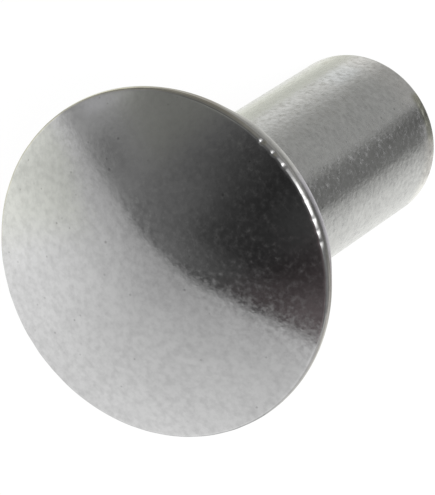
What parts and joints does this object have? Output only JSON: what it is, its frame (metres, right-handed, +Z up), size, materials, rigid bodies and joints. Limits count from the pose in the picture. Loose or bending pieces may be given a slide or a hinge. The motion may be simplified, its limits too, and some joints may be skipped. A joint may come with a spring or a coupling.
{
  "type": "solid rivet",
  "caption": "Solid rivet with a low, wide domed head on a plain round shank, for clinching plates, sheets or straps together.",
  "frame": {"origin": "centre of the flat end face of the shank, on which the rivet stands", "axes": "+Z up the rivet's axis from the shank's end to the crown of the head; X and Y are equivalent"},
  "size_m": [0.008, 0.008, 0.011],
  "materials": {
    "steel": "bare steel, satin, as headed and tumbled, with fine grain and scattered small pits"
  },
  "bodies": {
    "root": {"rivet": "steel"}
  },
  "joints": []
}
